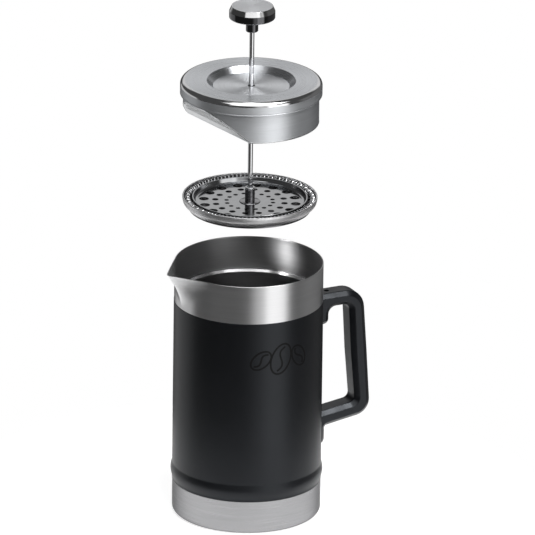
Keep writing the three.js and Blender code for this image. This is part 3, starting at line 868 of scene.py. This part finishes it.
def lid_skirt():
    """The wall under the cap, cut away on the slant over the spout, with a narrow rolled hem."""
    top = -LID_BAND + 2

    def low(angle):
        return skirt_low(SKIRT_RADIUS * math.cos(angle)) + HEM_RADIUS + 0.05

    def section(angle):
        edge = low(angle)
        profile = [(SKIRT_OUTSIDE, top), (SKIRT_OUTSIDE, edge), (SKIRT_INSIDE, edge), (SKIRT_INSIDE, top)]
        return stood_up(profile, angle)

    skirt = swept("lid_skirt_wall", section, SKIRT_ROUND, sharp=40)
    skirt.data.transform(LID_PLACE)
    placed(skirt, LID_WALL, *LID, "lid_skirt")
    middle = SKIRT_OUTSIDE - HEM_RADIUS + 0.15
    around = []
    for k in range(SKIRT_ROUND):
        angle = math.tau * k / SKIRT_ROUND
        around += stood_up([(middle, low(angle))], angle)
    roll = wire_loop("skirt_hem", around, HEM_RADIUS, sides=16)
    roll.data.transform(LID_PLACE)
    placed(roll, HEM_STEEL, *LID)


def lid_floor():
    """The flat bottom of the lid, up to the foot of the slant."""
    edge = [polar(SKIRT_INSIDE, SLANT_REACH * k / 60) for k in range(-60, 61)]
    outlines = [edge, ring_points(ROD_HOLE, 48)]
    plate = flat_piece("lid_floor_plate", outlines, -SKIRT_BOTTOM, -SKIRT_BOTTOM + SHEET)
    plate.data.transform(LID_PLACE)
    placed(plate, LID_STEEL, *LID, "lid_floor")


def strainer_holes():
    """Staggered rows of round holes, (distance down the slant, distance aside), clear of the skirt."""
    first, border = 5.2, 2.6
    holes = []
    for row in range(STRAINER_ROWS):
        down = first + STRAINER_PITCH * row * 0.87
        half = math.sqrt(max(SKIRT_INSIDE**2 - (SKIRT_RADIUS - down * math.cos(SLANT)) ** 2, 0)) - border
        count = int(half / STRAINER_PITCH)
        shift = (row % 2) * 0.5
        for k in range(-count, count + 1):
            aside = (k + shift) * STRAINER_PITCH
            if abs(aside) < half:
                holes.append(ring_points(STRAINER_HOLE, 14, (down, aside)))
    return holes


def pour_strainer():
    """The strainer on the slant. It is drawn flat, from the top of the slant down, and then tipped."""
    lift = 0.4
    edge = []
    for k in range(-60, 61):
        y = SKIRT_INSIDE * math.sin(SLANT_REACH) * k / 60
        x = -math.sqrt(max(SKIRT_INSIDE**2 - y * y, 0))
        edge.append(((x + SKIRT_RADIUS) / math.cos(SLANT), y))
    strainer = flat_piece("strainer_plate", [edge] + strainer_holes(), lift, lift + SHEET)
    slant_top = Matrix.Translation((-SKIRT_RADIUS * MM, 0, (SLANT_RISE - SKIRT_BOTTOM) * MM))
    strainer.data.transform(LID_PLACE @ slant_top @ Matrix.Rotation(SLANT, 4, "Y"))
    placed(strainer, STRAINER_STEEL, *LID, "pour_strainer")


def rod_bushes():
    tops = {"upper": -DISH_DEPTH - SHEET, "lower": -SKIRT_BOTTOM + SHEET + BUSH_HEIGHT}
    for name, top in tops.items():
        bottom = top - BUSH_HEIGHT
        outline = rounded([(BUSH_BORE, top, 0.4), (BUSH_RADIUS, top, 0.6), (BUSH_RADIUS, bottom, 0.6),
                           (BUSH_BORE, bottom, 0.4)])
        bush = turned(name + "_bush", outline, LID_TOP, count=FINE_ROUND)
        placed(bush, BUSH_PLASTIC, "lid_guide", "bush_plastic", name + "_rod_bush")


# ---------------- plunger
def rod():
    bottom, top = RIM - MESH_DEPTH - 3.9, KNOB_TOP - 5
    outline = rounded([(0, bottom, 0), (ROD_RADIUS, bottom, 0.3), (ROD_RADIUS, top, 0), (0, top, 0)])
    placed(turned("rod", outline, count=FINE_ROUND), POLISHED, *FITTING, "plunger_rod")


def knob_crown():
    face_edge = KNOB_FACE_RADIUS - 0.25
    face = rounded([(0, 0, 0), (face_edge, 0, 0.15), (face_edge, -1, 0), (0, -1, 0)])
    placed(turned("knob_face", face, KNOB_TOP), KNOB_FACE, *KNOB)
    start, foot = KNOB_FACE_RADIUS - 0.3, -KNOB_CHAMFER + 0.15
    crown = rounded([(start, -0.05, 0), (KNOB_FACE_RADIUS, -0.05, 0.2), (KNOB_RADIUS - 0.1, foot, 0),
                     (KNOB_RADIUS - 1.6, foot, 0), (start, -0.9, 0)])
    placed(turned("knob_chamfer", crown, KNOB_TOP), CHAMFER_STEEL, *KNOB)


def knob_shell():
    """The dark shell of the knob, and the plate that closes it from below."""
    inside = KNOB_RADIUS - 2.7
    foot = -KNOB_CHAMFER + 0.15
    step = KNOB_FACE_RADIUS - 2.5
    shell = rounded([(KNOB_RADIUS - 0.1, foot, 0), (KNOB_RADIUS, -KNOB_CHAMFER - 0.1, 0.2),
                     (KNOB_RADIUS, -KNOB_HEIGHT, 1.2), (inside, -KNOB_HEIGHT, 0.2),
                     (inside, -KNOB_CHAMFER - 1, 0.4), (step, -2, 0), (step, -1, 0),
                     (KNOB_FACE_RADIUS - 0.4, -1, 0), (KNOB_RADIUS - 1.6, foot, 0)])
    placed(turned("knob_shell", shell, KNOB_TOP), KNOB_DARK, *KNOB, "knob_cap")
    bore, boss = ROD_RADIUS + 0.05, 6
    low, high = -KNOB_HEIGHT + 0.2, -KNOB_HEIGHT + 1.7
    base = rounded([(bore, low, 0), (inside, low, 0.3), (inside, high, 0), (boss, high, 0), (boss, -4, 0),
                    (bore, -4, 0)])
    placed(turned("knob_underside", base, KNOB_TOP, count=FINE_ROUND), KNOB_DARK, *KNOB, "knob_base")


def knob_ferrule():
    """The ferrule under the knob, with a narrower neck at its top."""
    bore, neck = ROD_RADIUS + 0.05, FERRULE_RADIUS - 0.35
    top, bottom = -KNOB_HEIGHT + 0.2, -KNOB_HEIGHT - 0.3 - FERRULE_HEIGHT
    outline = rounded([(bore, bottom, 0.2), (FERRULE_RADIUS, bottom, 0.9), (FERRULE_RADIUS, top - 1.4, 0.2),
                       (neck, top - 1.1, 0.1), (neck, top, 0), (bore, top, 0)])
    placed(turned("ferrule", outline, KNOB_TOP, count=FINE_ROUND), KNOB_DARK, *KNOB, "knob_ferrule")


def filter_plate():
    """The dished plate with its rings of holes, and its turned-up brim."""
    bottom, top = -PLATE_DEPTH - SHEET, -PLATE_DEPTH
    holes = [ring_points(ROD_RADIUS + 0.05, 40)]
    for spoke in range(SPOKES):
        turn = (spoke + 0.5) * math.tau / SPOKES
        for away, radius in PLATE_HOLES:
            holes.append(ring_points(radius, 36, polar(away, turn), turn))
    outlines = [ring_points(PLATE_FLAT + 0.3, 180)] + holes
    plate = flat_piece("filter_plate", outlines, RIM + bottom, RIM + top, bevel=0.12)
    placed(plate, PLATE_STEEL, *FITTING, "perforated_plate")
    brim_low, brim_high = PLATE_BRIM
    rim = rounded([(PLATE_FLAT, top - 0.02, 0), (44.1, top - 0.02, 2.2), (45.3, brim_high, 0.3),
                   (PLATE_RADIUS, brim_high, 0.25), (PLATE_RADIUS, brim_low, 0.25), (46.0, brim_low, 0.3),
                   (44.8, bottom, 2.8), (PLATE_FLAT, bottom, 0)])
    placed(turned("filter_plate_rim", rim, RIM), PLATE_STEEL, *FITTING)


def filter_hub():
    """The hub with its bright ring, and the washer that it stands on."""
    bore, waist = ROD_RADIUS + 0.02, HUB_RADIUS - 0.35
    low, neck = -PLATE_DEPTH + 0.9, HUB_TOP - 1.5
    hub = rounded([(bore, low, 0), (HUB_RADIUS, low, 0), (HUB_RADIUS, neck - 0.7, 0.1),
                   (waist, neck - 0.4, 0.1), (waist, neck, 0), (bore, neck, 0)])
    # the hub gets the darkened steel: painted shade
    placed(turned("hub", hub, RIM, count=FINE_ROUND), HUB_STEEL_PAINTED_SHADE, *FITTING, "filter_hub")
    ring = rounded([(bore, neck, 0), (waist, neck, 0), (HUB_RADIUS, neck + 0.3, 0.1),
                    (HUB_RADIUS, HUB_TOP, 0.7), (bore + 0.9, HUB_TOP, 0.2), (bore, HUB_TOP - 0.9, 0)])
    placed(turned("hub_ring", ring, RIM, count=FINE_ROUND), SPRING, *FITTING)
    # the washer is darkened like the hub: painted shade round the hub's foot
    foot = -PLATE_DEPTH + 0.02
    washer = rounded([(bore, foot, 0), (8.6, foot, 0.1), (8.2, -PLATE_DEPTH + 0.6, 0.2), (6, low, 0.3),
                      (bore, low, 0)])
    placed(turned("washer", washer, RIM, count=FINE_ROUND), HUB_STEEL_PAINTED_SHADE, *FITTING, "hub_washer")


def filter_spring():
    """The coil spring that presses the mesh against the wall: one long helix, bent into a ring."""
    per_coil = 12
    middle = RIM - COIL_RADIUS - 0.4
    points = []
    for i in range(COILS * per_coil):
        around = math.tau * i / (COILS * per_coil)
        wind = math.tau * i / per_coil
        radius = COIL_RING_RADIUS + COIL_MIDDLE * math.cos(wind)
        points += stood_up([(radius, middle + COIL_MIDDLE * math.sin(wind))], around)
    spring = wire_loop("spring", points, COIL_RADIUS - COIL_MIDDLE)
    placed(spring, SPRING, *FITTING, "rim_spring")


def filter_mesh():
    """The woven screen: flat below, and up round the spring to a folded edge."""
    wall = 0.4
    half = wall / 2
    bore = ROD_RADIUS + 0.1
    outside = rounded([(bore, -MESH_DEPTH, 0), (FILTER_FOOT_RADIUS + 0.4, -MESH_DEPTH, 3.0),
                       (53.6, -5.0, 5.0), (FILTER_RADIUS, -2.2, 3.0), (FILTER_RADIUS, -0.35, 0.3),
                       (FILTER_RADIUS - wall, 0, 0)], steps=10)

    def inwards(depth):
        """The outside, moved this far into the filter."""
        lifted = [(max(r - depth, bore), z + (depth if r < FILTER_FOOT_RADIUS else depth / 2))
                  for r, z in outside[1:-1]]
        return [(bore, -MESH_DEPTH + depth)] + lifted + [(FILTER_RADIUS - depth, -0.05)]

    skin = outside + inwards(half)[::-1]
    placed(turned("screen", skin, RIM), MESH, *SCREEN, "mesh_screen")
    # the screen's inner skin gets the darker weave: painted shade
    lining = inwards(half) + inwards(wall)[::-1]
    placed(turned("screen_inside", lining, RIM), MESH_INSIDE_PAINTED_SHADE, *SCREEN)
    # the folded edge gets the lighter weave: painted highlight
    fold, outer = FILTER_RADIUS - 1.2, FILTER_RADIUS + 0.03
    edge = rounded([(fold, -2.0, 0.2), (outer, -2.0, 0.3), (outer, 0, 0.4), (fold, 0, 0.4)])
    placed(turned("screen_edge", edge, RIM), MESH_EDGE_PAINTED_HIGHLIGHT, *SCREEN)


def filter_foot():
    """The spoked plate under the mesh, and the nut that clamps the filter together."""
    top = RIM - MESH_DEPTH
    bottom = top - FOOT_THICK
    holes = [ring_points(ROD_RADIUS + 0.1, 32)]
    for i in range(FOOT_SPOKES):
        for away, radius, count, shift in FOOT_HOLES:
            turn = (i + shift) * math.tau / FOOT_SPOKES
            holes.append(ring_points(radius, count, polar(away, turn)))
    plate = flat_piece("foot_plate", [ring_points(FILTER_FOOT_RADIUS, 200)] + holes, bottom, top, bevel=0.25)
    placed(plate, FOOT_STEEL, *FITTING, "cross_plate")
    nut = flat_piece("nut", [ring_points(5.0, 6)], bottom - NUT_HEIGHT, bottom)
    soften(nut, 0.5, segments=2)
    placed(nut, POLISHED, *FITTING, "filter_nut")


for make in (
    painted_shell, steel_collar, inner_vessel, ledge_lip, base_band, base_cover, handle_loop, handle_fixings,
    shell_mark, lid_top, lid_edge, lid_band, lid_skirt, lid_floor, pour_strainer, rod_bushes, rod, knob_crown,
    knob_shell, knob_ferrule, filter_plate, filter_hub, filter_spring, filter_mesh, filter_foot,
):
    make()


# ---------------- studio
CAMERA_AZIMUTH = math.radians(-26.5)
CAMERA_ELEVATION = math.radians(20.3)
PALE = 1.0  # brightness of the backdrop

# soft panels round the object: (middle, half width, softness), the same for its height, in degrees, and
# its brightness; sideways angles run to the right from the camera, as seen from the object
PANELS = (
    ((-124, 28, 4), (-40, 41, 5), 0.55),
    ((-60, 20, 6), (-46, 12, 5), 0.3),
    ((45, 17, 4), (-12, 38, 8), 1.5),
    ((20, 12, 8), (-12, 38, 8), 0.6),
    ((107, 22, 8), (-12, 38, 8), 0.09),
    ((142, 14, 8), (-12, 38, 8), 0.08),
    ((13, 73, 3), (72, 22, 4), 2.3),
    ((61, 13, 5), (62, 10, 4), 18.0),
    ((3, 40, 3), (38, 13, 3), 1.8),
    ((180, 28, 6), (22, 10, 4), 0.68),
    ((180, 5, 3), (66, 18, 4), 5.0),
    ((180, 60, 10), (81, 10, 4), 2.2),
    ((180, 70, 8), (-44, 14, 5), 0.8),
)
DIM = 0.075  # brightness of the room between the panels


def within(nodes, angle, *size):
    """1 within half of middle, and 0 outside, over a soft edge: size is the three, in degrees."""
    middle, half, soft = map(math.radians, size)
    away = nodes.math("WRAP", nodes.math("SUBTRACT", angle, middle), math.pi, -math.pi)
    return nodes.spread(nodes.math("ABSOLUTE", away), 1, 0, half - soft, half + soft, "SMOOTHSTEP")


def studio_world():
    """A pale backdrop to the eye, and a dim room with soft panels to everything that reflects it."""
    world = bpy.data.worlds.new("studio")
    bpy.context.scene.world = world
    world.use_nodes = True
    nodes = Nodes(world.node_tree)
    direction = nodes.node("ShaderNodeTexCoord").outputs["Generated"]
    x, y, z = nodes.node("ShaderNodeSeparateXYZ", in_Vector=direction).outputs
    sideways = nodes.math("SUBTRACT", nodes.math("ARCTAN2", y, x), CAMERA_AZIMUTH - math.pi / 2)
    upward = nodes.math("ARCSINE", z)
    total = DIM
    for across, height, brightness in PANELS:
        shape = nodes.math("MULTIPLY", within(nodes, sideways, *across), within(nodes, upward, *height))
        total = nodes.math("ADD", nodes.math("MULTIPLY", shape, brightness), total)
    seen = nodes.node("ShaderNodeLightPath").outputs["Is Camera Ray"]
    backdrop = nodes.math("MULTIPLY", seen, PALE)
    room = nodes.math("MULTIPLY", nodes.math("SUBTRACT", 1, seen), total)
    background = world.node_tree.nodes["Background"]
    background.inputs["Color"].default_value = (1, 1, 1, 1)
    nodes.link(nodes.math("ADD", backdrop, room), background.inputs["Strength"])


def pale_floor():
    """A round pale floor that fades into the backdrop."""
    solid_to, gone_at = 0.14, 0.25
    disc = flat_piece("floor", [ring_points(300, 128)], -2, 0)
    pale = Shader("pale_floor", (0.6, 0.6, 0.6), 0.9, Specular_IOR_Level=0.0,
                  Emission_Color=(1, 1, 1, 1), Emission_Strength=0.68)
    away = pale.node("ShaderNodeVectorMath", operation="LENGTH", in_0=pale.place()).outputs["Value"]
    pale.link(pale.spread(away, 1, 0, solid_to, gone_at), pale.bsdf.inputs["Alpha"])
    disc.data.materials.append(pale.material)


def outwards(azimuth, elevation):
    """The direction from the object to something at an azimuth, 0 along -Y, and an elevation."""
    flat = math.cos(elevation)
    return Vector((math.sin(azimuth) * flat, -math.cos(azimuth) * flat, math.sin(elevation)))


def accent_lamp():
    """A small soft lamp that looks over the rim and brightens one spot of the collar's inside."""
    side = math.radians(30)  # of the spot, to the right of the back of the collar
    away, rise = 0.45, math.radians(22)
    below_rim = 10.5
    spot_at = -outwards(CAMERA_AZIMUTH - side, 0) * (BODY_RADIUS - COLLAR_WALL) * MM
    spot_at.z = (COLLAR[1] - below_rim) * MM
    towards = outwards(CAMERA_AZIMUTH - 2 * side, rise)
    data = bpy.data.lights.new("accent_lamp", "SPOT")
    data.energy = 21.0
    data.spot_size = math.radians(3.2)
    data.spot_blend = 1.0
    data.shadow_soft_size = 0.012
    lamp = linked("accent_lamp", data)
    lamp.location = spot_at + towards * away
    lamp.rotation_mode = "QUATERNION"
    lamp.rotation_quaternion = towards.to_track_quat("Z", "Y")


def camera():
    """A distant camera with a long lens, rolled a little."""
    distance = 12.0
    frame_width = 0.4302
    sensor = 36.0
    roll = math.radians(0.77)
    aside, height = 0.0149, 0.2071
    data = bpy.data.cameras.new("camera")
    data.sensor_width = sensor
    data.lens = sensor * distance / frame_width
    data.clip_end = 100
    view = linked("camera", data)
    back = outwards(CAMERA_AZIMUTH, CAMERA_ELEVATION)
    right = Vector((math.cos(CAMERA_AZIMUTH), math.sin(CAMERA_AZIMUTH), 0))
    view.location = Vector((0, 0, height)) + right * aside + back * distance
    view.rotation_mode = "QUATERNION"
    turn = Matrix.Rotation(roll, 3, "Z").to_quaternion()
    view.rotation_quaternion = (-back).to_track_quat("-Z", "Y") @ turn
    bpy.context.scene.camera = view


studio_world()
pale_floor()
accent_lamp()
camera()
bpy.context.scene.view_settings.view_transform = "Standard"
